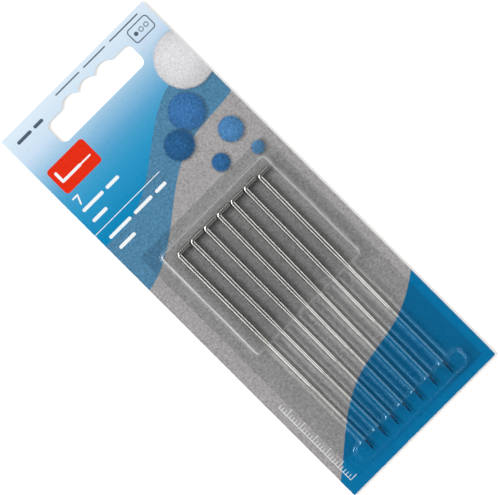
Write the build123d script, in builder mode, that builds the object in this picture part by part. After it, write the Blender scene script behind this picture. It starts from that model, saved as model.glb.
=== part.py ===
from build123d import *
import os
from math import atan2, cos, degrees, hypot, radians, sin

# A retail pack of felting needles: a printed card with a hang slot, a clear formed blister on its front,
# and cranked steel needles that lie loose under the blister.
# All lengths are millimetres. The card lies on its back: +X right, +Y towards the hang slot, +Z out of the print.
# The origin is the middle of the card's back.

# Card
card_thickness = 0.5
card_corner_radius = 0.4
header_length = 49.6  # hang edge to the blister's flange
foot_margin = 2.8  # flange to the card's lower edge
left_margin = 4.6  # card's left edge to the flange
right_margin = 2.7

# Hang slot
slot_width = 32.1
slot_height = 7.3
slot_corner_radius = 1.9
slot_edge_gap = 5.5  # hang edge to the slot's shoulders
slot_shift = 0.35  # to the right of the card's middle
scallop_count = 3
scallop_pitch = 6.35
scallop_rise = 1.65
scallop_valley_radius = 0.35

# Felting needles
shank_diameter = 1.5
waist_diameter = 0.85
blade_diameter = 0.72
shank_length = 29.3  # crank's centre line to the cone
cone_length = 6.6
waist_length = 13.7
neck_length = 2.0
blade_length = 22.0
point_length = 2.65
point_radius = 0.04
bend_radius = 0.8
crank_end_chamfer = 0.12
flat_distance = 0.22  # needle's axis to each flat of the three-sided blade
flat_runout = 1.2
barb_depth = 0.09
barb_length = 0.45
barb_pitch = 1.9  # between the barbs of one edge
barb_start = 3.4  # the point to the first barb
barbs_per_edge = 3
blade_edges = 3
blade_turn = 30.0  # degrees: one edge points the crank's way

# How the needles lie
needle_pitch = 5.15
crank_gap = 0.15  # each crank's end to the next shank
lie_gap = 0.05  # underside of the shanks to the print
side_play = 0.66  # furthest that a point lies off its channel's middle
channel_shift = 0.35  # first channel's middle to the right of the first crank's bend
channel_step_shares = (0.967, 0.940, 0.951, 0.946, 1.047, 1.079)  # of the needle pitch
point_place_shares = (-0.25, -0.12, -0.46, -0.75, -1.0, -0.75, -0.71)  # of the side play
drop_room = 0.5  # the lowest needle lies this far below the highest
drop_shares = (0.0, 0.0, 0.05, 0.0, 0.1, 0.05, 1.0)  # of the drop room

# Blister
sheet_thickness = 0.25
flange_corner_radius = 0.6
top_rim = 3.25
left_rim = 3.4
right_rim = 3.3
bottom_rim = 0.7
left_room = 3.67  # first shank to the tray's wall
right_room = 0.93  # last crank's end to the tray's wall
top_room = 2.55  # cranks to the tray's wall
point_room = 0.6  # lowest point to the low tray's wall
headroom = 1.05  # over the shanks
point_headroom = 0.25  # over the points
channel_clearance = 0.12  # round a waist that lies at the side
mouth_lead = 0.5  # tray's lower wall above the end of the cones
low_tray_length = 5.55
channel_overrun = 1.4  # channels' ends past the low tray's upper wall
tray_corner_radius = 1.5
low_tray_corner_radius = 2.2
wall_draft = 8.0  # degrees
tray_edge_radius = 0.5
low_tray_edge_radius = 0.5

# Sizes that follow from those above
shank_radius = shank_diameter / 2
waist_radius = waist_diameter / 2
blade_radius = blade_diameter / 2
needle_count = len(point_place_shares)
crank_reach = needle_pitch - shank_radius - crank_gap
reach_down = shank_length + cone_length + waist_length + neck_length + blade_length + point_length
axis_height = card_thickness + lie_gap + shank_radius
needle_span = (needle_count - 1) * needle_pitch + crank_reach
tray_width = left_room + shank_radius + needle_span + right_room
flange_width = left_rim + tray_width + right_rim + 2 * sheet_thickness
card_width = left_margin + flange_width + right_margin
needle_room = top_room + shank_radius + reach_down + drop_room + point_room
flange_length = top_rim + needle_room + bottom_rim + 2 * sheet_thickness
card_length = header_length + flange_length + foot_margin

flange_top = card_length / 2 - header_length
flange_left = left_margin - card_width / 2
tray_left = flange_left + left_rim + sheet_thickness
tray_top = flange_top - top_rim - sheet_thickness
crank_y = tray_top - top_room - shank_radius
tray_bottom = crank_y - shank_length - cone_length + mouth_lead
low_tray_bottom = tray_top - needle_room
low_tray_top = low_tray_bottom + low_tray_length
first_crank_x = tray_left + left_room + shank_radius
tray_height = lie_gap + shank_diameter + headroom
low_tray_height = axis_height - card_thickness + blade_radius + point_headroom
channel_radius = hypot(side_play, axis_height - card_thickness) + waist_radius + channel_clearance
channel_xs = [
    first_crank_x + channel_shift + needle_pitch * sum(channel_step_shares[:i])
    for i in range(needle_count)
]

shoulder_y = card_length / 2 - slot_edge_gap
scallop_half_width = scallop_pitch * scallop_count / 2

with BuildPart() as backing_card:
    with BuildSketch() as card_outline:
        RectangleRounded(card_width, card_length, card_corner_radius)
        with Locations((slot_shift, shoulder_y - slot_height / 2)):
            RectangleRounded(slot_width, slot_height, slot_corner_radius, mode=Mode.SUBTRACT)
        for i in range(scallop_count):
            valley_x = slot_shift - scallop_half_width + i * scallop_pitch
            with BuildLine():
                ThreePointArc(
                    (valley_x, shoulder_y),
                    (valley_x + scallop_pitch / 2, shoulder_y + scallop_rise),
                    (valley_x + scallop_pitch, shoulder_y),
                )
                Line((valley_x + scallop_pitch, shoulder_y), (valley_x, shoulder_y))
            make_face(mode=Mode.SUBTRACT)
        valleys = card_outline.vertices().filter_by(
            lambda v: abs(v.Y - shoulder_y) < scallop_valley_radius
            and abs(v.X - slot_shift) < scallop_half_width + scallop_valley_radius
        )
        fillet(valleys, scallop_valley_radius)
    extrude(amount=card_thickness)


def tray(left, right, low, high, height, corner, edge, grown):
    """Adds one drafted tray to the part in hand, its walls and roof moved outwards by grown."""
    middle = ((left + right) / 2, (low + high) / 2)
    with BuildSketch(Plane.XY.offset(card_thickness)) as foot:
        with Locations(middle):
            RectangleRounded(right - left + 2 * grown, high - low + 2 * grown, corner + grown)
    extrude(foot.sketch, amount=height + grown, taper=wall_draft)
    roof = faces(Select.LAST).sort_by(Axis.Z)[-1]
    fillet(roof.edges(), edge + grown)


def channel(middle_x, grown):
    """Adds one arched channel with a round end, from inside the tray to inside the low tray."""
    radius = channel_radius + grown
    start_y = tray_bottom + channel_radius
    end_y = low_tray_top - channel_overrun + channel_radius
    start = Plane(origin=(middle_x, start_y, card_thickness), x_dir=(1, 0, 0), z_dir=(0, -1, 0))
    with BuildSketch(start) as arch:
        Circle(radius)
    extrude(arch.sketch, amount=start_y - end_y)
    with Locations((middle_x, end_y, card_thickness)):
        Sphere(radius)


def blister_forms(grown):
    """Adds the two trays and all channels to the part in hand, grown outwards from the hollow's own size."""
    tray(
        tray_left, tray_left + tray_width, low_tray_bottom, low_tray_top,
        low_tray_height, low_tray_corner_radius, low_tray_edge_radius, grown,
    )
    tray(
        tray_left, tray_left + tray_width, tray_bottom, tray_top,
        tray_height, tray_corner_radius, tray_edge_radius, grown,
    )
    for middle_x in channel_xs:
        channel(middle_x, grown)


with BuildPart() as hollow:
    blister_forms(0)

with BuildPart() as blister:
    blister_forms(sheet_thickness)
    split(bisect_by=Plane.XY.offset(card_thickness), keep=Keep.TOP)
    flange_middle = (flange_left + flange_width / 2, flange_top - flange_length / 2)
    with BuildSketch(Plane.XY.offset(card_thickness)):
        with Locations(flange_middle):
            RectangleRounded(flange_width, flange_length, flange_corner_radius)
    extrude(amount=sheet_thickness)
    add(hollow.part, mode=Mode.SUBTRACT)


def edge_plane(place, down, turn):
    """A plane through the needle's axis, so far below its crank: x down the needle, y out at an angle."""
    turn = radians(turn)
    side = Plane(origin=(0, -down, 0), x_dir=(0, -1, 0), z_dir=(cos(turn), 0, -sin(turn)))
    return Plane(place * side.location)


def needle_profile(place):
    """Half the needle's outline below its bend: at its place, x is the radius and -y runs down."""
    cone_at = shank_length + cone_length
    waist_at = cone_at + waist_length
    neck_at = waist_at + neck_length
    blade_at = neck_at + blade_length
    with BuildSketch(Plane(place)) as profile:
        with BuildLine():
            Polyline(
                (0, -bend_radius),
                (shank_radius, -bend_radius),
                (shank_radius, -shank_length),
                (waist_radius, -cone_at),
                (waist_radius, -waist_at),
                (blade_radius, -neck_at),
                (blade_radius, -blade_at),
                (point_radius, -reach_down),
                (0, -reach_down),
                close=True,
            )
        make_face()
    return profile.sketch


def cut_flats(place):
    """Cuts the blade's sides, which run out on a slope under the neck."""
    blade_start = reach_down - point_length - blade_length
    for side in range(blade_edges):
        plane = edge_plane(place, blade_start, blade_turn + 360 * (side + 1 / 2) / blade_edges)
        with BuildSketch(plane) as waste:
            with BuildLine():
                Polyline(
                    (0, blade_radius),
                    (flat_runout, flat_distance),
                    (blade_length + point_length + flat_runout, flat_distance),
                    (blade_length + point_length + flat_runout, 2 * blade_radius),
                    (0, 2 * blade_radius),
                    close=True,
                )
            make_face()
        extrude(waste.sketch, amount=blade_radius, both=True, mode=Mode.SUBTRACT)


def cut_barbs(place):
    """Cuts the barbs, staggered from edge to edge, each steep on the side of the crank."""
    for edge in range(blade_edges):
        for row in range(barbs_per_edge):
            up = barb_start + barb_pitch * (row + edge / blade_edges)
            turn = blade_turn + 360 * edge / blade_edges
            with BuildSketch(edge_plane(place, reach_down - up, turn)) as notch:
                with BuildLine():
                    Polyline(
                        (0, blade_radius - barb_depth),
                        (barb_length, blade_radius),
                        (barb_length, blade_radius + barb_depth),
                        (-barb_depth / 2, blade_radius + barb_depth),
                        close=True,
                    )
                make_face()
            extrude(notch.sketch, amount=blade_radius, both=True, mode=Mode.SUBTRACT)


def make_needle(place):
    """One felting needle. At its place, the crank points along x and the shank runs down -y."""
    with BuildPart() as needle:
        with BuildLine(Plane(place)) as wire:
            Line((crank_reach, 0), (bend_radius, 0))
            CenterArc((bend_radius, -bend_radius), bend_radius, 90, 90)
        crank_end = Plane(origin=(crank_reach, 0, 0), z_dir=(-1, 0, 0))
        with BuildSketch(Plane(place * crank_end.location)):
            Circle(shank_radius)
        sweep(path=wire.line)
        crank_face = needle.faces().filter_by(GeomType.PLANE).sort_by(Axis.X)[-1]
        chamfer(crank_face.edges(), crank_end_chamfer)
        revolve(needle_profile(place), axis=Axis(place.position, Plane(place).y_dir))
        cut_flats(place)
        cut_barbs(place)
    return needle


needles = []
for i in range(needle_count):
    crank_x = first_crank_x + i * needle_pitch
    needle_y = crank_y - drop_room * drop_shares[i]
    point_x = channel_xs[i] + side_play * point_place_shares[i]
    lean = degrees(atan2(point_x - crank_x, reach_down))
    needles.append(make_needle(Location((crank_x, needle_y, axis_height), (0, 0, lean))))

os.makedirs("parts", exist_ok=True)
for name, piece in (("backing_card", backing_card), ("blister", blister)):
    piece.part.label = name
    export_step(piece.part, f"parts/{name}.step")
for i, needle in enumerate(needles, start=1):
    needle.part.label = f"needle_{i}"
    export_step(needle.part, f"parts/needle_{i}.step")
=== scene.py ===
import math
from functools import cached_property

import bpy
import numpy as np
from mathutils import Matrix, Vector


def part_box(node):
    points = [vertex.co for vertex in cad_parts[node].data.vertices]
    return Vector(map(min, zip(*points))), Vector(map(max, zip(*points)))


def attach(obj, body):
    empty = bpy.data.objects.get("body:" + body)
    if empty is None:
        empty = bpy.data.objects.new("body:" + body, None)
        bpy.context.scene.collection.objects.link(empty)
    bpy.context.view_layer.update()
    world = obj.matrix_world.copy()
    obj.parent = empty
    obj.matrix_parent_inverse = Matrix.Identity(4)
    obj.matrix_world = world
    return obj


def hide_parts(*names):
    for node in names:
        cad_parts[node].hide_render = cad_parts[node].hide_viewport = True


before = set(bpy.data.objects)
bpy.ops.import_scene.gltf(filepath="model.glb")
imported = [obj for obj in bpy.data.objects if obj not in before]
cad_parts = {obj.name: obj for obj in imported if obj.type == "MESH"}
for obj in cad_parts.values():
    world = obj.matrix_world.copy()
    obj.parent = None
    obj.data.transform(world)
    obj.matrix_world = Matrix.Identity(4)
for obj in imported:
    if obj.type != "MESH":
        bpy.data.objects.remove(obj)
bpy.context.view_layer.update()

# Sizes and places are millimetres in the frame's own axes, and MM takes them to metres.
MM = 0.001
card_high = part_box("backing_card")[1] / MM
sheet_low, sheet_high = (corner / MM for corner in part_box("blister"))
WHITE = (1.0, 1.0, 1.0, 1.0)


def srgb(red, green, blue):
    """A colour as it looks on a screen, 0 to 255, in the linear values that shaders take."""
    linear = []
    for level in (red / 255, green / 255, blue / 255):
        linear.append(level / 12.92 if level <= 0.04045 else ((level + 0.055) / 1.055) ** 2.4)
    return (*linear, 1.0)


# Nodes written as sums
def give(tree, put, value):
    """Links a Value or a socket into an input, or writes a plain number or colour there."""
    if isinstance(value, Value):
        tree.links.new(value.socket, put)
    elif isinstance(value, bpy.types.NodeSocket):
        tree.links.new(value, put)
    else:
        put.default_value = value


class Value:
    """A number at each point of a surface, worked out by nodes."""

    def __init__(self, tree, socket):
        self.tree = tree
        self.socket = socket

    def op(self, operation, *others):
        """One Math node, with this value first and the others after it."""
        node = self.tree.nodes.new("ShaderNodeMath")
        node.operation = operation
        for put, value in zip(node.inputs, (self, *others)):
            give(self.tree, put, value)
        return Value(self.tree, node.outputs[0])

    def __add__(self, other):
        return self.op("ADD", other)

    def __sub__(self, other):
        return self.op("SUBTRACT", other)

    def __mul__(self, other):
        return self.op("MULTIPLY", other)

    def __truediv__(self, other):
        return self.op("DIVIDE", other)

    def __neg__(self):
        return self.op("MULTIPLY", -1.0)

    def at_least(self, other):
        return self.op("MAXIMUM", other)

    def at_most(self, other):
        return self.op("MINIMUM", other)

    def size(self):
        return self.op("ABSOLUTE")

    def round_one(self, swing):
        """A noise, which runs from 0 to 1, as a factor round 1."""
        return (self - 0.5) * swing + 1.0

    def spread(self, low, high, to_low=0.0, to_high=1.0, smooth=False):
        """The value taken from one range to another and held at its ends."""
        node = self.tree.nodes.new("ShaderNodeMapRange")
        if smooth:
            node.interpolation_type = "SMOOTHSTEP"
        for put, value in zip(node.inputs, (self, low, high, to_low, to_high)):
            give(self.tree, put, value)
        return Value(self.tree, node.outputs[0])

    def inside(self, softness):
        """A distance outside a shape as 1 inside it and 0 outside, with a soft edge."""
        return self.spread(-softness, softness, 1.0, 0.0)


class Surface:
    """A node material in the making, with its point in millimetres."""

    def __init__(self, name):
        self.material = bpy.data.materials.new(name)
        self.material.use_nodes = True
        self.tree = self.material.node_tree
        self.tree.nodes.clear()
        self.point = self.scaled(self.node("ShaderNodeTexCoord").outputs["Object"], 1 / MM)
        self.x, self.y, self.z = self.parts(self.point)

    @cached_property
    def flat_point(self):
        """The point without its height, for shapes drawn on the card."""
        return self.stretched(1.0, 1.0, 0.0)

    def node(self, kind, **settings):
        """A new node with its settings made."""
        node = self.tree.nodes.new(kind)
        for key, value in settings.items():
            setattr(node, key, value)
        return node

    def parts(self, vector):
        """The three numbers of a vector."""
        split = self.node("ShaderNodeSeparateXYZ")
        self.tree.links.new(vector, split.inputs[0])
        return [Value(self.tree, out) for out in split.outputs]

    def facing(self):
        """The surface's own direction, in the piece's frame: its third number is 1 where it faces up."""
        return self.parts(self.node("ShaderNodeTexCoord").outputs["Normal"])

    def vector_math(self, operation, *vectors, output="Vector"):
        """One step of vector arithmetic."""
        node = self.node("ShaderNodeVectorMath", operation=operation)
        for put, vector in zip(node.inputs, vectors):
            give(self.tree, put, vector)
        return node.outputs[output]

    def scaled(self, vector, value):
        """A vector times a value."""
        node = self.node("ShaderNodeVectorMath", operation="SCALE")
        give(self.tree, node.inputs[0], vector)
        give(self.tree, node.inputs["Scale"], value)
        return node.outputs[0]

    def stretched(self, x, y, z):
        """The point with each direction scaled, for grain that runs one way."""
        return self.vector_math("MULTIPLY", self.point, (x, y, z))

    def noise(self, scale, detail=2.0, roughness=0.5, distortion=0.0, vector=None):
        """Cloudy noise from 0 to 1, so many waves to the millimetre."""
        node = self.node("ShaderNodeTexNoise")
        self.tree.links.new(vector or self.point, node.inputs["Vector"])
        node.inputs["Scale"].default_value = scale
        node.inputs["Detail"].default_value = detail
        node.inputs["Roughness"].default_value = roughness
        node.inputs["Distortion"].default_value = distortion
        return Value(self.tree, node.outputs[0])

    def ramp(self, value, stops):
        """Colours that follow a value, from stops of place and colour in rising order."""
        node = self.node("ShaderNodeValToRGB")
        give(self.tree, node.inputs[0], value)
        elements = node.color_ramp.elements
        while len(elements) < len(stops):
            elements.new(0.5)
        for element, (place, _) in zip(elements, stops):
            element.position = place
        for element, (_, colour) in zip(elements, stops):
            element.color = colour
        return node.outputs[0]

    def mix(self, share, first, second):
        """Two colours mixed: the first where the share is 0, the second where it is 1."""
        node = self.node("ShaderNodeMix", data_type="RGBA")
        give(self.tree, node.inputs["Factor"], share)
        give(self.tree, node.inputs[6], first)
        give(self.tree, node.inputs[7], second)
        return node.outputs[2]

    def lit(self, colour, value):
        """A plain colour made brighter or darker by a value round 1."""
        return self.scaled(colour[:3], value)

    def box(self, x, y, half_width, half_height, corner):
        """Distance outside a round-cornered rectangle."""
        from_middle = self.vector_math("SUBTRACT", self.flat_point, (x, y, 0))
        folded = self.vector_math("ABSOLUTE", from_middle)
        past_corner = self.vector_math("SUBTRACT", folded, (half_width - corner, half_height - corner, 0))
        held = self.vector_math("MAXIMUM", past_corner, (0, 0, 0))
        return Value(self.tree, self.vector_math("LENGTH", held, output="Value")) - corner

    def disc(self, x, y, radius):
        """Distance outside a circle."""
        away = self.vector_math("DISTANCE", self.flat_point, (x, y, 0), output="Value")
        return Value(self.tree, away) - radius

    def stroke(self, start, end, half_width):
        """Distance outside a round-ended line."""
        run = Vector(end) - Vector(start)
        share = run / run.length_squared
        from_x = self.x - start[0]
        from_y = self.y - start[1]
        along = (from_x * share.x + from_y * share.y).at_least(0.0).at_most(1.0)
        off_x = from_x - along * run.x
        off_y = from_y - along * run.y
        return (off_x * off_x + off_y * off_y).op("SQRT") - half_width

    def bump(self, height, distance, strength):
        """The surface's direction, tilted as a relief of that height would."""
        node = self.node("ShaderNodeBump")
        node.inputs["Strength"].default_value = strength
        node.inputs["Distance"].default_value = distance
        give(self.tree, node.inputs["Height"], height)
        return node.outputs[0]

    def shader(self, kind, **inputs):
        """A shader node with its inputs given, an underscore standing for the space in a name."""
        node = self.node(kind)
        for key, value in inputs.items():
            give(self.tree, node.inputs[key.replace("_", " ")], value)
        return node.outputs[0]

    def shade(self, share, first, second):
        """Two shaders mixed: the first where the share is 0, the second where it is 1."""
        node = self.node("ShaderNodeMixShader")
        give(self.tree, node.inputs[0], share)
        self.tree.links.new(first, node.inputs[1])
        self.tree.links.new(second, node.inputs[2])
        return node.outputs[0]

    def finish(self, shader):
        """The material, with that shader as its surface."""
        output = self.node("ShaderNodeOutputMaterial")
        self.tree.links.new(shader, output.inputs["Surface"])
        return self.material


# The card's inks, and the places of its print
HEADER_STOPS = (  # millimetres below the hang edge, and the ink there
    (1.4, (216, 232, 246)), (2.8, (212, 230, 245)), (8.3, (201, 222, 242)), (15.4, (141, 190, 223)),
    (20.6, (93, 166, 210)), (23.4, (69, 159, 204)), (28.0, (44, 151, 200)), (38.5, (5, 133, 185)),
)
HEADER_DEPTH = 40.0
FELT_BLUE = srgb(79, 130, 164)
FELT_GREY = srgb(163, 161, 162)
FOOT_BLUE = srgb(0, 114, 166)
BADGE_RED = srgb(226, 44, 14)
PRINT_WHITE = srgb(240, 245, 248)
PRINT_DARK = srgb(34, 52, 74)
SHADOW_INK = srgb(40, 44, 52)
BALL_WHITE = srgb(214, 214, 218)
BOARD_BACK = srgb(222, 220, 214)
BOARD_FLECK = srgb(150, 140, 124)
BOARD_CORE = srgb(214, 211, 203)
WORN_INK = srgb(238, 238, 236)
CARD_CORNER = 0.4
INK_EDGE = 0.05  # softness of a printed edge
FELT_EDGE = 0.12
BALL_EDGE = 0.22
FRAYING = 0.5  # how far fibres move the felt's edges
HAIR = 2.2  # how far they move the balls' edges
WHITE_GRAIN = 0.55  # strength of the white ball's grain
BLUE_GRAIN = 1.3
SHADOW_SHIFT = (0.35, -0.3)
SHADOW_RUN = (0.9, -0.4)  # distance outside the ball where its shadow starts, and where it is darkest
SHADOW_SHARE = 0.5
BALL_SHADES = (1.08, 0.80)  # at a ball's lit side, and at its other side
WEAR_REACH = (0.02, 0.16)  # how far in from the card's edge the ink is worn
WEAR_SHARE = 0.85
PRINT_ROUGHNESS = (0.24, 0.36)
CUT_ROUGHNESS = 0.82
PRINT_GLOSS = 0.32

# Felt balls: x, y, radius and colour.
BALLS = (
    (24.5, 49.5, 8.4, BALL_WHITE),
    (14.6, 38.6, 5.2, srgb(58, 112, 168)),
    (6.6, 33.4, 4.3, srgb(40, 92, 140)),
    (19.8, 26.6, 3.6, srgb(74, 128, 178)),
    (11.4, 22.0, 2.6, srgb(47, 101, 152)),
    (21.6, 17.8, 1.9, srgb(86, 138, 182)),
)
# Bars in the places of words: x, y, half width and half height.
WHITE_BARS = (
    (-21.1, 39.3, 3.9, 0.5), (-13.6, 39.3, 2.4, 0.5), (-22.3, 35.4, 2.7, 0.5),
    (-20.9, 28.9, 4.1, 0.5), (-12.0, 28.9, 3.4, 0.5), (-5.2, 28.9, 2.0, 0.5), (-22.0, 25.0, 3.0, 0.5),
)
DARK_BARS = (
    (-3.2, 67.2, 4.6, 0.2), (7.2, 67.2, 4.2, 0.2), (18.6, 67.2, 5.5, 0.2),
    (-22.0, 65.1, 2.6, 0.5), (-16.6, 65.1, 1.7, 0.5),
)
BAR_ROUNDING = 0.9  # corner radius of a bar, of its half height
LINE_ROUNDING = 0.05  # corner radius of a printed line
# Boxes: x, y, half width, half height and corner radius.
RULE = (-15.0, 32.2, 12.6, 0.11, LINE_ROUNDING)
FRAME_BOX = (21.8, 63.5, 3.6, 2.2, 0.9)
BADGE = (-17.9, 49.8, 6.9, 4.3, 1.1)
FRAME_LINE = 0.16  # half width of the frame's line
DOT_RADIUS = 0.62
DOT_PITCH = 1.9
RING_LINE = 0.12
# Strokes: start, end and half width.
SEVEN = (((-24.6, 43.6), (-22.9, 43.6), 0.24), ((-22.9, 43.6), (-23.9, 41.2), 0.24))
NEEDLE_SIGN = (
    ((-23.0, 51.9), (-23.0, 49.0), 0.42),
    ((-23.0, 49.0), (-16.6, 49.0), 0.42),
    ((-16.6, 49.0), (-12.7, 49.0), 0.24),
)
# A millimetre scale along the card's left side, with a longer tick at every fifth.
SCALE_X = -25.2
SCALE_LOW = -65.0
SCALE_HIGH = -37.0
SCALE_LINE = 0.09  # half width of the line that the ticks stand on
TICK_HALF_WIDTH = 0.08
LONG_TICK = 2.3
SHORT_TICK = 1.2


def felt_grain(s, strength=1.0):
    """Short fibres lying every way: a factor round 1."""
    fine = s.noise(1.6, detail=4.0, roughness=0.85, distortion=0.6)
    curls = s.noise(1.0, roughness=0.7, distortion=5.0)
    cloud = s.noise(0.10)
    return fine.round_one(2.3 * strength) + (curls - 0.5) * (1.2 * strength) + (cloud - 0.5) * 0.10


def wave(s, height, slope, swing, turn):
    """How far a point is above a wavy line across the card."""
    line = (s.x * 0.115 + turn).op("SINE") * swing + s.x * slope + height
    return s.y - line


def foot_line(s):
    """How far a point is above the wavy line where the print's blue foot starts."""
    return wave(s, height=-47.5, slope=0.50, swing=3.0, turn=2.4)


def nearest(distances):
    """Distance outside the nearest of several shapes."""
    least = distances[0]
    for distance in distances[1:]:
        least = least.at_most(distance)
    return least


def felt_areas(s):
    """The pale header, and the blue and the grey felt that lie below it with frayed wavy edges."""
    down = s.y.spread(card_high.y, card_high.y - HEADER_DEPTH)
    header = s.ramp(down, [(depth / HEADER_DEPTH, srgb(*ink)) for depth, ink in HEADER_STOPS])
    frayed = (s.noise(1.6, detail=3.0) - 0.5) * FRAYING
    grain = felt_grain(s)
    blue = (wave(s, height=38.0, slope=0.36, swing=3.5, turn=0.0) + frayed).inside(FELT_EDGE)
    grey = (wave(s, height=25.0, slope=0.42, swing=3.2, turn=0.9) + frayed).inside(FELT_EDGE)
    ink = s.mix(blue, header, s.lit(FELT_BLUE, grain))
    return s.mix(grey, ink, s.lit(FELT_GREY, grain))


def felt_balls(s, ink):
    """Balls on the felt, each with a soft shadow on its right, a lit upper left and a fibrous rim."""
    hair = (s.noise(1.5, detail=4.0, roughness=0.8, distortion=2.5) - 0.5) * HAIR
    white_grain = felt_grain(s, WHITE_GRAIN)
    blue_grain = felt_grain(s, BLUE_GRAIN)
    for x, y, radius, colour in BALLS:
        from_shadow = s.disc(x + SHADOW_SHIFT[0], y + SHADOW_SHIFT[1], radius)
        ink = s.mix(from_shadow.spread(*SHADOW_RUN, 0.0, SHADOW_SHARE, smooth=True), ink, SHADOW_INK)
        from_lit_side = s.disc(x - 0.2 * radius, y + 0.2 * radius, 0.0)
        bulge = from_lit_side.spread(0.3 * radius, 1.3 * radius, *BALL_SHADES, smooth=True)
        grain = white_grain if colour == BALL_WHITE else blue_grain
        ball = (s.disc(x, y, radius) + hair).inside(BALL_EDGE)
        ink = s.mix(ball, ink, s.lit(colour, grain * bulge))
    return ink


def bars(s, rows):
    """Distances outside the bars that stand in the places of words."""
    return [s.box(x, y, width, height, height * BAR_ROUNDING) for x, y, width, height in rows]


def millimetre_scale(s):
    """Distance outside the scale's ticks and the line that they stand on."""
    along = s.y - SCALE_LOW
    aside = s.x - SCALE_X
    reach = along.op("PINGPONG", 2.5).spread(0.12, 0.16, LONG_TICK, SHORT_TICK)
    ticks = (along.op("PINGPONG", 0.5) - TICK_HALF_WIDTH).at_least(aside - reach).at_least(-aside)
    past_ends = (s.y - (SCALE_HIGH + 0.1)).at_least(-(along + 0.1))
    middle = (SCALE_LOW + SCALE_HIGH) / 2
    line = s.box(SCALE_X, middle, SCALE_LINE, SCALE_HIGH - middle, LINE_ROUNDING)
    return ticks.at_least(past_ends).at_most(line)


def white_marks(s):
    """Bars, a rule, a 7 for the number of needles, and the scale."""
    seven = [s.stroke(*line) for line in SEVEN]
    return nearest([*bars(s, WHITE_BARS), s.box(*RULE), *seven, millimetre_scale(s)])


def dark_marks(s):
    """Bars, and a frame round one full and two open dots."""
    x, y = FRAME_BOX[:2]
    frame_line = s.box(*FRAME_BOX).size() - FRAME_LINE
    full_dot = s.disc(x - DOT_PITCH, y, DOT_RADIUS)
    open_dots = [s.disc(at, y, DOT_RADIUS).size() - RING_LINE for at in (x, x + DOT_PITCH)]
    return nearest([*bars(s, DARK_BARS), frame_line, full_dot, *open_dots])


def front_print(s):
    """All that is printed on the card's front."""
    ink = felt_balls(s, felt_areas(s))
    foot = s.lit(FOOT_BLUE, s.noise(0.7, detail=3.0).round_one(0.10))
    ink = s.mix(foot_line(s).inside(INK_EDGE), ink, foot)
    ink = s.mix(white_marks(s).inside(INK_EDGE), ink, PRINT_WHITE)
    ink = s.mix(dark_marks(s).inside(INK_EDGE) * 0.9, ink, PRINT_DARK)
    ink = s.mix(s.box(*BADGE).inside(INK_EDGE), ink, BADGE_RED)
    sign = nearest([s.stroke(*line) for line in NEEDLE_SIGN])
    return s.mix(sign.inside(INK_EDGE), ink, PRINT_WHITE)


def printed_board():
    """The card: a varnished print in front, flecked pulp behind, layers on the cut edges, worn corners."""
    s = Surface("printed_board_look")
    from_edge = -s.box(0.0, 0.0, card_high.x, card_high.y, CARD_CORNER)
    reach = s.noise(1.3, detail=4.0).spread(0.52, 0.66, *WEAR_REACH)
    worn = (from_edge / reach).spread(0.4, 1.0, WEAR_SHARE, 0.0)
    front_ink = s.mix(worn, front_print(s), WORN_INK)

    flecks = s.noise(2.6, vector=s.stretched(1.0, 3.0, 1.0)).spread(0.70, 0.76)
    pulp = s.lit(BOARD_BACK, s.noise(2.0, detail=5.0, roughness=0.7).round_one(0.16))
    back_colour = s.mix(flecks * 0.35, pulp, BOARD_FLECK)
    layers = s.lit(BOARD_CORE, s.noise(1.0, detail=4.0, vector=s.stretched(2.0, 2.0, 30.0)).round_one(0.5))

    up = s.facing()[2]
    front = up.spread(0.5, 0.9)
    back = up.spread(-0.9, -0.5, 1.0, 0.0)
    colour = s.mix(back, s.mix(front, layers, front_ink), back_colour)
    varnish = s.noise(0.9, detail=3.0).spread(0.3, 0.7, *PRINT_ROUGHNESS)
    rough = front.spread(0.0, 1.0, CUT_ROUGHNESS, varnish)
    normal = s.bump(s.noise(1.1) * 0.5 + s.noise(6.0) * 0.1, distance=0.02 * MM, strength=0.35)
    varnished = dict(Base_Color=colour, Roughness=rough, Normal=normal, Specular_IOR_Level=PRINT_GLOSS)
    return s.finish(s.shader("ShaderNodeBsdfPrincipled", **varnished))


# The formed sheet: its forms as the CAD has them, measured inside, but with flat crowns on the channels
SHEET = 0.25  # thickness
LAY = 0.01  # the flange's underside over the print
FACE = card_high.z
LEFT_RIM = 3.4  # flange's edge to the trays
RIGHT_RIM = 3.3
TOP_RIM = 3.25
BOTTOM_RIM = 0.7
TRAY_LENGTH = 38.7
LOW_TRAY_LENGTH = 5.55
tray_sides = dict(left=sheet_low.x + LEFT_RIM + SHEET, right=sheet_high.x - RIGHT_RIM - SHEET)
tray_top = sheet_high.y - TOP_RIM - SHEET
tray_bottom = tray_top - TRAY_LENGTH
low_tray_bottom = sheet_low.y + BOTTOM_RIM + SHEET
low_tray_top = low_tray_bottom + LOW_TRAY_LENGTH
TRAY = dict(**tray_sides, low=tray_bottom, high=tray_top, height=2.60, corner=1.5, edge=0.5)
LOW_TRAY = dict(**tray_sides, low=low_tray_bottom, high=low_tray_top, height=1.41, corner=2.2, edge=0.5)
CHANNEL_XS = (-14.48, -9.50, -4.66, 0.24, 5.11, 10.50, 16.06)
CHANNEL_HALF_WIDTH = 1.58
CHANNEL = dict(low=low_tray_top - 1.4, high=tray_bottom + 2.05, height=1.37, corner=1.2, edge=0.35)
FLANGE_CORNER = 0.6
DRAFT = math.radians(8.0)
BLEND = 0.3  # how widely the forms run into each other
MOUTH_BLEND = 0.8  # how widely the channels run into the low tray
MOUTH_PLACES = (low_tray_top - 2.4, low_tray_top - 1.2)  # one blend gives way to the other between these
SKIN_RANGE = (FACE - 0.5, FACE + 4.0)  # heights between which a skin is sought
HALVINGS = 34
SHARP_ANGLE = 60.0

# Swells that forming leaves: the roofs sag, and the forms stand a little askew.
SAG = 0.045
SWAY_X = 0.035
SWAY_Y = 0.030

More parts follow.
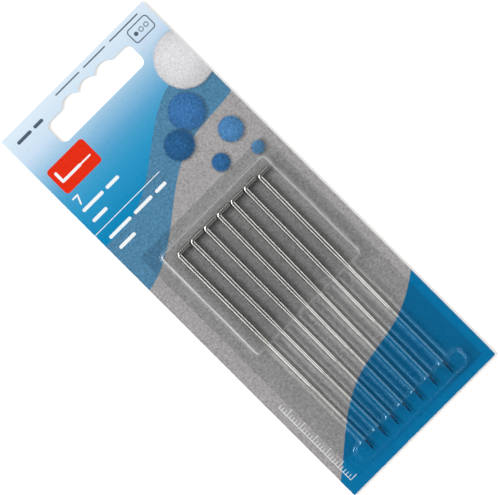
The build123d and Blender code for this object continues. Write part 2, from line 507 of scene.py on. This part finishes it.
# Grid lines lie close together from so far outside a wall to so far inside it, and widen away from there.
FLANGE_ZONE = dict(out=0.0, into=0.3, spacing=0.1)
SIDE_ZONE = dict(out=0.3, into=1.2, spacing=0.075)
END_ZONE = dict(out=0.25, into=1.2, spacing=0.105)
CHANNEL_ZONE = dict(out=0.2, into=0.85, spacing=0.09)
MOUTH_SPACING = 0.13
COARSE_X = 1.2
COARSE_Y = 2.5
GRID_GROWTH = 0.5
LEAST_STEP = 0.04


def smooth_least(a, b, width):
    """The lesser of two distances, with a round run from one to the other."""
    near = np.maximum(width - np.abs(a - b), 0.0) / width
    return np.minimum(a, b) - near * near * width / 4


def corner_distance(a, b, radius):
    """Distance outside both of two walls, with an edge of that radius where they meet."""
    a = a + radius
    b = b + radius
    return np.hypot(np.maximum(a, 0), np.maximum(b, 0)) + np.minimum(np.maximum(a, b), 0) - radius


def tray_distance(x, y, z, left, right, low, high, height, corner, edge):
    """Distance outside one drafted tray of the upper skin, its inside measures given."""
    aside = np.abs(x - (left + right) / 2) - (right - left) / 2 - SHEET
    along = np.abs(y - (low + high) / 2) - (high - low) / 2 - SHEET
    plan = corner_distance(aside, along, corner + SHEET)
    wall = (plan + (z - FACE) * math.tan(DRAFT)) * math.cos(DRAFT)
    roof = z - (FACE + height + SHEET)
    return corner_distance(wall, roof, edge + SHEET)


def sheet_distance(x, y, z):
    """Distance outside the sheet's upper skin, the forms blended as a drawn sheet runs over them."""
    distance = z - (FACE + SHEET)
    for middle in CHANNEL_XS:
        sides = dict(left=middle - CHANNEL_HALF_WIDTH, right=middle + CHANNEL_HALF_WIDTH)
        distance = smooth_least(distance, tray_distance(x, y, z, **sides, **CHANNEL), BLEND)
    blend = np.interp(y, MOUTH_PLACES, (BLEND, MOUTH_BLEND))
    distance = smooth_least(distance, tray_distance(x, y, z, **LOW_TRAY), blend)
    return smooth_least(distance, tray_distance(x, y, z, **TRAY), BLEND)


def skin(x, y, level):
    """Height of the skin that lies so far outside the upper one, found by halving."""
    low = np.full(x.shape, SKIN_RANGE[0])
    high = np.full(x.shape, SKIN_RANGE[1])
    for _ in range(HALVINGS):
        middle = (low + high) / 2
        outside = sheet_distance(x, y, middle) > level
        high = np.where(outside, middle, high)
        low = np.where(outside, low, middle)
    return (low + high) / 2


def across_wall(wall, inward, out, into, spacing):
    """The zone of close grid lines across one wall, whose inside lies the way of inward."""
    ends = (wall - out * inward, wall + into * inward)
    return min(ends), max(ends), spacing


def graded(start, end, zones, coarse):
    """Grid lines from start to end, as close as the zones (low, high, spacing) ask."""
    lines = [start]
    while lines[-1] < end:
        at = lines[-1]
        step = coarse
        for low, high, spacing in zones:
            away = max(low - at, at - high, 0.0)
            step = min(step, spacing + GRID_GROWTH * away)
        to_zones = [low - at for low, _, _ in zones if 1e-6 < low - at < step]
        lines.append(at + min([step, *(max(gap, LEAST_STEP) for gap in to_zones)]))
    scale = (end - start) / (lines[-1] - start)
    return np.array([start + (line - start) * scale for line in lines])


def sheet_grid():
    """The grid's points on the flange, those outside its round corners moved in to its outline."""
    x_zones = [
        across_wall(sheet_low.x, 1, **FLANGE_ZONE),
        across_wall(sheet_high.x, -1, **FLANGE_ZONE),
        across_wall(TRAY["left"] - SHEET, 1, **SIDE_ZONE),
        across_wall(TRAY["right"] + SHEET, -1, **SIDE_ZONE),
    ]
    for middle in CHANNEL_XS:
        x_zones.append(across_wall(middle - CHANNEL_HALF_WIDTH - SHEET, 1, **CHANNEL_ZONE))
        x_zones.append(across_wall(middle + CHANNEL_HALF_WIDTH + SHEET, -1, **CHANNEL_ZONE))
    y_zones = [
        across_wall(sheet_low.y, 1, **FLANGE_ZONE),
        across_wall(sheet_high.y, -1, **FLANGE_ZONE),
        (CHANNEL["low"], LOW_TRAY["high"] + 1.0, MOUTH_SPACING),
    ]
    for tray in (TRAY, LOW_TRAY):
        y_zones.append(across_wall(tray["low"] - SHEET, 1, **END_ZONE))
        y_zones.append(across_wall(tray["high"] + SHEET, -1, **END_ZONE))
    xs = graded(sheet_low.x, sheet_high.x, x_zones, COARSE_X)
    ys = graded(sheet_low.y, sheet_high.y, y_zones, COARSE_Y)
    x, y = np.meshgrid(xs, ys, indexing="ij")

    centre_x = np.clip(x, sheet_low.x + FLANGE_CORNER, sheet_high.x - FLANGE_CORNER)
    centre_y = np.clip(y, sheet_low.y + FLANGE_CORNER, sheet_high.y - FLANGE_CORNER)
    away = np.hypot(x - centre_x, y - centre_y)
    outside = (x != centre_x) & (y != centre_y) & (away > FLANGE_CORNER)
    pull = np.where(outside, FLANGE_CORNER / np.maximum(away, FLANGE_CORNER), 1.0)
    return centre_x + (x - centre_x) * pull, centre_y + (y - centre_y) * pull


def two_skins(name, x, y, upper, lower):
    """A closed mesh from two skins over one grid, joined round their rim."""
    index = np.arange(x.size).reshape(x.shape)
    here = index[:-1, :-1]
    right = index[1:, :-1]
    beyond = index[1:, 1:]
    above = index[:-1, 1:]
    top = np.stack([here, right, beyond, above], -1).reshape(-1, 4)
    bottom = np.stack([above, beyond, right, here], -1).reshape(-1, 4) + x.size
    ring = np.concatenate([index[:-1, 0], index[-1, :-1], index[:0:-1, -1], index[0, :0:-1]])
    after = np.roll(ring, -1)
    rim = np.stack([ring, ring + x.size, after + x.size, after], -1)
    points = np.concatenate([np.stack([x, y, z], -1).reshape(-1, 3) for z in (upper, lower)]) * MM
    mesh = bpy.data.meshes.new(name)
    mesh.from_pydata(points.tolist(), [], np.concatenate([top, bottom, rim]).tolist())
    mesh.update()
    mesh.polygons.foreach_set("use_smooth", [True] * len(mesh.polygons))
    mesh.set_sharp_from_angle(angle=math.radians(SHARP_ANGLE))
    piece = bpy.data.objects.new(name, mesh)
    bpy.context.collection.objects.link(piece)
    return piece


def formed_sheet():
    """The blister as one sheet of even thickness, with slow swells that leave its rim in place."""
    x, y = sheet_grid()
    upper = skin(x, y, 0.0)
    lower = skin(x, y, LAY - SHEET)
    rise = np.clip(upper - FACE - SHEET, 0, None)
    sag = SAG * (rise / rise.max()) * (1 + np.sin(x * 0.23 + 0.7) * np.sin(y * 0.17 + 1.9))
    off_sides = np.clip(np.minimum(x - sheet_low.x, sheet_high.x - x), 0, 1)
    off_ends = np.clip(np.minimum(y - sheet_low.y, sheet_high.y - y), 0, 1)
    sway_x = SWAY_X * np.sin(y * 0.31 + x * 0.4) * off_sides
    sway_y = SWAY_Y * np.sin(x * 0.47 + 1.3) * off_ends
    lower = np.maximum(lower - sag, FACE + LAY)
    return two_skins("blister_sheet", x + sway_x, y + sway_y, upper - sag, lower)


PLASTIC_IOR = 1.53
FILM = (0.985, 0.99, 0.99)  # light that each face lets through
FILM_ROUGHNESS = (0.14, 0.24)
ROOF_SHADE_PASS = 0.957  # painted shade: light that the tall tray's roof lets through, against the flange's, which darkens the print under it
ROOF_SHADE_HEIGHTS = (1.9, 3.0)  # between which the painted shade sets in
# Milky white on the tall tray's rounded roof edges: partly whitening from forming, partly a painted
# highlight, strongest at the sides that face the side lamps.
MILK_HIGHLIGHT_WHITE = (0.93, 0.94, 0.93, 1.0)
MILK_HIGHLIGHT_HEIGHTS = (2.7, 2.95)  # between which the tall tray's edges turn milky white with a painted highlight
SIDE_MILK_HIGHLIGHT = 0.50  # how strong the milky white and painted highlight are at the tray's sides
END_MILK_HIGHLIGHT = 0.3  # and at its ends, as a share of that
MILK_HIGHLIGHT_CLOUDS = (0.8, 1.2)
PAINTED_FOOT_GLINT = (0.50, 0.84, 1.0, 1.0)  # painted reflection: the gloss over the blue foot is tinted with the print's blue
LOW_GLOSS = (0.32, 1.15)  # share of its gloss that the low tray keeps, and that its right end has
RIGHT_END = (9.0, 17.0)  # where the one gives way to the other
LEFT_END = (-18.2, -17.2)
LEFT_GLOSS = 0.6


def gloss_share(s):
    """The share of its gloss that the sheet keeps: less on the low tray, but for the tray's right end."""
    low_gloss = s.x.spread(*RIGHT_END, *LOW_GLOSS) * s.x.spread(*LEFT_END, LEFT_GLOSS, 1.0)
    return s.y.spread(low_tray_top - 0.2, low_tray_top - 0.9, 1.0, low_gloss)


def clear_sheet():
    """Clear film: see-through, with gloss by Fresnel's law that is tinted blue over the foot as a painted
    reflection, painted shade on the tall roof, and side edges milky white that is partly a painted highlight.
    """
    s = Surface("clear_sheet_look")
    drawn = s.noise(1.0, vector=s.stretched(1.6, 0.12, 1.0))
    normal = s.bump(s.noise(0.22) + s.noise(1.6) * 0.05 + drawn * 0.12, distance=0.03 * MM, strength=0.25)
    inner = Value(s.tree, s.node("ShaderNodeNewGeometry").outputs["Backfacing"])
    ior = inner.spread(0.0, 1.0, PLASTIC_IOR, 1 / PLASTIC_IOR)
    mirrored = Value(s.tree, s.shader("ShaderNodeFresnel", IOR=ior, Normal=normal))
    # Painted reflection: over the blue foot the sheet's gloss is tinted blue.
    painted_glint_colour = s.mix(foot_line(s).inside(0.4), WHITE, PAINTED_FOOT_GLINT)
    rough = s.noise(1.1, detail=3.0).spread(0.3, 0.7, *FILM_ROUGHNESS)
    gloss = s.shader("ShaderNodeBsdfGlossy", Color=painted_glint_colour, Roughness=rough, Normal=normal)
    # Painted shade: the tall roof lets through less light, darkening the print seen under it.
    painted_roof_shade = s.z.spread(*ROOF_SHADE_HEIGHTS, 1.0, ROOF_SHADE_PASS)
    through = s.shader("ShaderNodeBsdfTransparent", Color=s.lit(FILM, painted_roof_shade))
    clear = s.shade(mirrored * gloss_share(s), through, gloss)

    facing = s.facing()
    up = facing[2].size()
    aside = facing[0].size()
    # Painted highlight, partly milky whitening: white on the tall tray's rounded roof edges, strongest at the
    # sides, which face the side lamps.
    milky_highlit_roof_edge = s.z.spread(*MILK_HIGHLIGHT_HEIGHTS) * up.spread(0.97, 0.85) * up.spread(0.25, 0.5)
    cloud = s.noise(0.45, vector=s.stretched(1.0, 0.3, 1.0)).spread(0.3, 0.7, *MILK_HIGHLIGHT_CLOUDS)
    share = milky_highlit_roof_edge * aside.spread(0.2, 0.4, END_MILK_HIGHLIGHT, 1.0) * SIDE_MILK_HIGHLIGHT * cloud
    scatter = s.shader("ShaderNodeBsdfDiffuse", Color=MILK_HIGHLIGHT_WHITE)
    glow = s.shader("ShaderNodeBsdfTranslucent", Color=MILK_HIGHLIGHT_WHITE)
    return s.finish(s.shade(share, clear, s.shade(0.5, scatter, glow)))


# Steel
GROUND_START = -17.0  # the cones' upper ends
CONE_LENGTH = 7.0
BLADE_START = -39.3  # the necks' lower ends
NAVY_POINT_START = -59.9  # below it the points are dark navy
WIRE_ROUGHNESS = (0.18, 0.27)
STEEL = (0.69, 0.68, 0.655)
PAINTED_FLANK_SHADE = 0.32  # painted shade: brightness of the shank's flanks, its crown being 1
GROUND_FINISH_AND_HIGHLIGHT = 1.36  # and of the ground wire below it: partly its ground finish, partly a painted highlight for the glare of the channels over it
BLADE_SHADE = 0.37  # of the pressed blade, as a share of that
# Painted shade on the points' flanks, their tops being 1:
PAINTED_POINT_FLANK_SHADE = 0.08
PAINTED_FOOT_REFLECTION = (0.050, 0.140, 0.235)  # painted reflection: the blue foot as the pressed flats mirror it, put into their colour
NAVY_POINT = (0.010, 0.030, 0.070)


def drawn_steel():
    """Wire: painted shade on the shank's flanks against its crown, the ground wire below brighter (partly its
    finish, partly a painted highlight), a dull pressed blade with the blue foot's reflection painted on over
    the foot, and dark navy points with painted shade on their flanks.
    """
    s = Surface("drawn_steel_look")
    streaks = s.noise(1.0, detail=3.0, roughness=0.6, vector=s.stretched(9.0, 0.25, 9.0))
    tone = streaks.round_one(0.22) + (s.noise(0.5, detail=3.0) - 0.5) * 0.14
    up = s.facing()[2]
    # Painted shade: the shank's flanks are darker than its crown, by the way they face.
    painted_flank_shading = up.spread(0.50, 0.82, PAINTED_FLANK_SHADE, 1.0)
    ground = s.y.spread(GROUND_START, GROUND_START - CONE_LENGTH)
    # Below the cone the wire is brighter all round: partly its ground finish, partly a painted highlight.
    flank_shade_and_ground_highlight = ground.spread(0.0, 1.0, painted_flank_shading, GROUND_FINISH_AND_HIGHLIGHT)
    on_blade = s.y.spread(BLADE_START + 1.0, BLADE_START - 1.0)
    pressed = on_blade.spread(0.0, 1.0, 1.0, BLADE_SHADE)
    base = s.lit(STEEL, tone * flank_shade_and_ground_highlight * pressed)
    # Painted reflection: over the blue foot the blade's colour takes the foot's blue.
    painted_reflection_share = foot_line(s).inside(0.4) * on_blade
    base = s.mix(painted_reflection_share, base, s.lit(PAINTED_FOOT_REFLECTION, tone))
    navy_point = s.y.spread(NAVY_POINT_START + 0.3, NAVY_POINT_START - 0.3)
    # Painted shade: the points' flanks are far darker than their tops.
    base = s.mix(navy_point, base, s.lit(NAVY_POINT, up.spread(0.72, 0.92, PAINTED_POINT_FLANK_SHADE, 1.0)))
    rough = streaks.spread(0.3, 0.7, *WIRE_ROUGHNESS)
    normal = s.bump(streaks, distance=0.002 * MM, strength=0.5)
    wire = dict(Base_Color=base, Metallic=1.0, Roughness=rough, Normal=normal)
    return s.finish(s.shader("ShaderNodeBsdfPrincipled", **wire))


def dress(node, material):
    """Gives a CAD node its material."""
    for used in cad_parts[node].material_slots:
        used.material = material


dress("backing_card", printed_board())
steel_look = drawn_steel()
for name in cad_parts:
    if name.startswith("needle_"):
        dress(name, steel_look)

blister_sheet = formed_sheet()
blister_sheet.data.materials.append(clear_sheet())
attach(blister_sheet, "blister")
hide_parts("blister")

# Floor, lights and camera. Their sizes and distances are metres.
FLOOR_SIZE = 12.0
FLOOR_DROP = 0.00005  # below the card's back
FLOOR_PAINT = (0.8, 0.8, 0.8, 1.0)
FLOOR_GLOW = 0.35  # what the camera and reflections see on top of the lit paint
LAMP_DISTANCE = 1.1
KEY_TINT = (1.0, 0.99, 0.975)
WARM_TINT = (1.0, 0.985, 0.96)
# Lamps: name, the way that they stand from the card, width, height, watts and tint.
LAMPS = (
    ("key", (-0.70, 0.66, 0.62), 0.6, 0.45, 9.5, KEY_TINT),
    ("left_wall", (-1.0, 0.0, 0.42), 1.2, 0.75, 5.9, KEY_TINT),
    ("right_wall", (1.0, 0.0, 0.42), 1.2, 0.75, 5.3, WARM_TINT),
    ("top_wall", (0.0, 1.0, 0.45), 1.2, 0.22, 1.0, WARM_TINT),
)
# The tent's light over the height of a direction, 0 level and 1 straight up: from, to, and the factors there.
OPENING = (0.92, 0.99, 0.34, 0.02)
HORIZON = (0.10, 0.38, 0.20, 1.0)
PHOTO_WIDTH = 137.0  # millimetres of the card's face across the photograph
PHOTO_TURN = -45.03  # degrees that the card lies turned in it
PHOTO_MIDDLE_X = 0.25  # millimetres, the photograph's middle to the right of the card's
LENS = 250.0
SENSOR = 36.0


def white_floor():
    """A pale floor that takes the object's shadow, and white to the camera and in reflections."""
    s = Surface("floor_look")
    rays = s.node("ShaderNodeLightPath").outputs
    camera_ray = Value(s.tree, rays["Is Camera Ray"])
    seen = camera_ray.at_least(rays["Is Glossy Ray"]).at_least(rays["Is Transmission Ray"])
    added = s.node("ShaderNodeAddShader")
    s.tree.links.new(s.shader("ShaderNodeBsdfDiffuse", Color=FLOOR_PAINT), added.inputs[0])
    s.tree.links.new(s.shader("ShaderNodeEmission", Color=WHITE, Strength=seen * FLOOR_GLOW), added.inputs[1])
    return s.finish(added.outputs[0])


def softbox(name, direction, width, height, watts, tint):
    """A rectangular lamp that looks at the card's middle from the given direction."""
    lamp = bpy.data.lights.new(name, "AREA")
    lamp.shape = "RECTANGLE"
    lamp.size = width
    lamp.size_y = height
    lamp.energy = watts
    lamp.color = tint
    away = Vector(direction).normalized()
    stand = bpy.data.objects.new(name, lamp)
    stand.location = away * LAMP_DISTANCE
    stand.rotation_mode = "QUATERNION"
    stand.rotation_quaternion = away.to_track_quat("Z", "Y")
    stand.visible_camera = False
    bpy.context.collection.objects.link(stand)


def studio_world():
    """A light tent, pale all round, with a dark opening overhead where the camera looks in."""
    world = bpy.data.worlds.new("studio")
    bpy.context.scene.world = world
    world.use_nodes = True
    tree = world.node_tree
    direction = tree.nodes.new("ShaderNodeTexCoord")
    split = tree.nodes.new("ShaderNodeSeparateXYZ")
    tree.links.new(direction.outputs["Generated"], split.inputs[0])
    height = Value(tree, split.outputs[2])
    strength = height.spread(*OPENING, smooth=True) * height.spread(*HORIZON, smooth=True)
    background = tree.nodes["Background"]
    background.inputs["Color"].default_value = WHITE
    give(tree, background.inputs["Strength"], strength)


bpy.ops.mesh.primitive_plane_add(size=FLOOR_SIZE, location=(0, 0, -FLOOR_DROP))
floor = bpy.context.object
floor.name = "floor"
floor.data.materials.append(white_floor())

for lamp_row in LAMPS:
    softbox(*lamp_row)
studio_world()

camera_data = bpy.data.cameras.new("camera")
camera_data.lens = LENS
camera_data.sensor_width = SENSOR
camera_data.clip_start = 0.01
camera_data.clip_end = 20.0
camera = bpy.data.objects.new("camera", camera_data)
camera.location = (PHOTO_MIDDLE_X * MM, 0.0, (card_high.z + PHOTO_WIDTH * LENS / SENSOR) * MM)
camera.rotation_euler = (0.0, 0.0, math.radians(PHOTO_TURN))
bpy.context.collection.objects.link(camera)
bpy.context.scene.camera = camera
bpy.context.scene.view_settings.view_transform = "Standard"
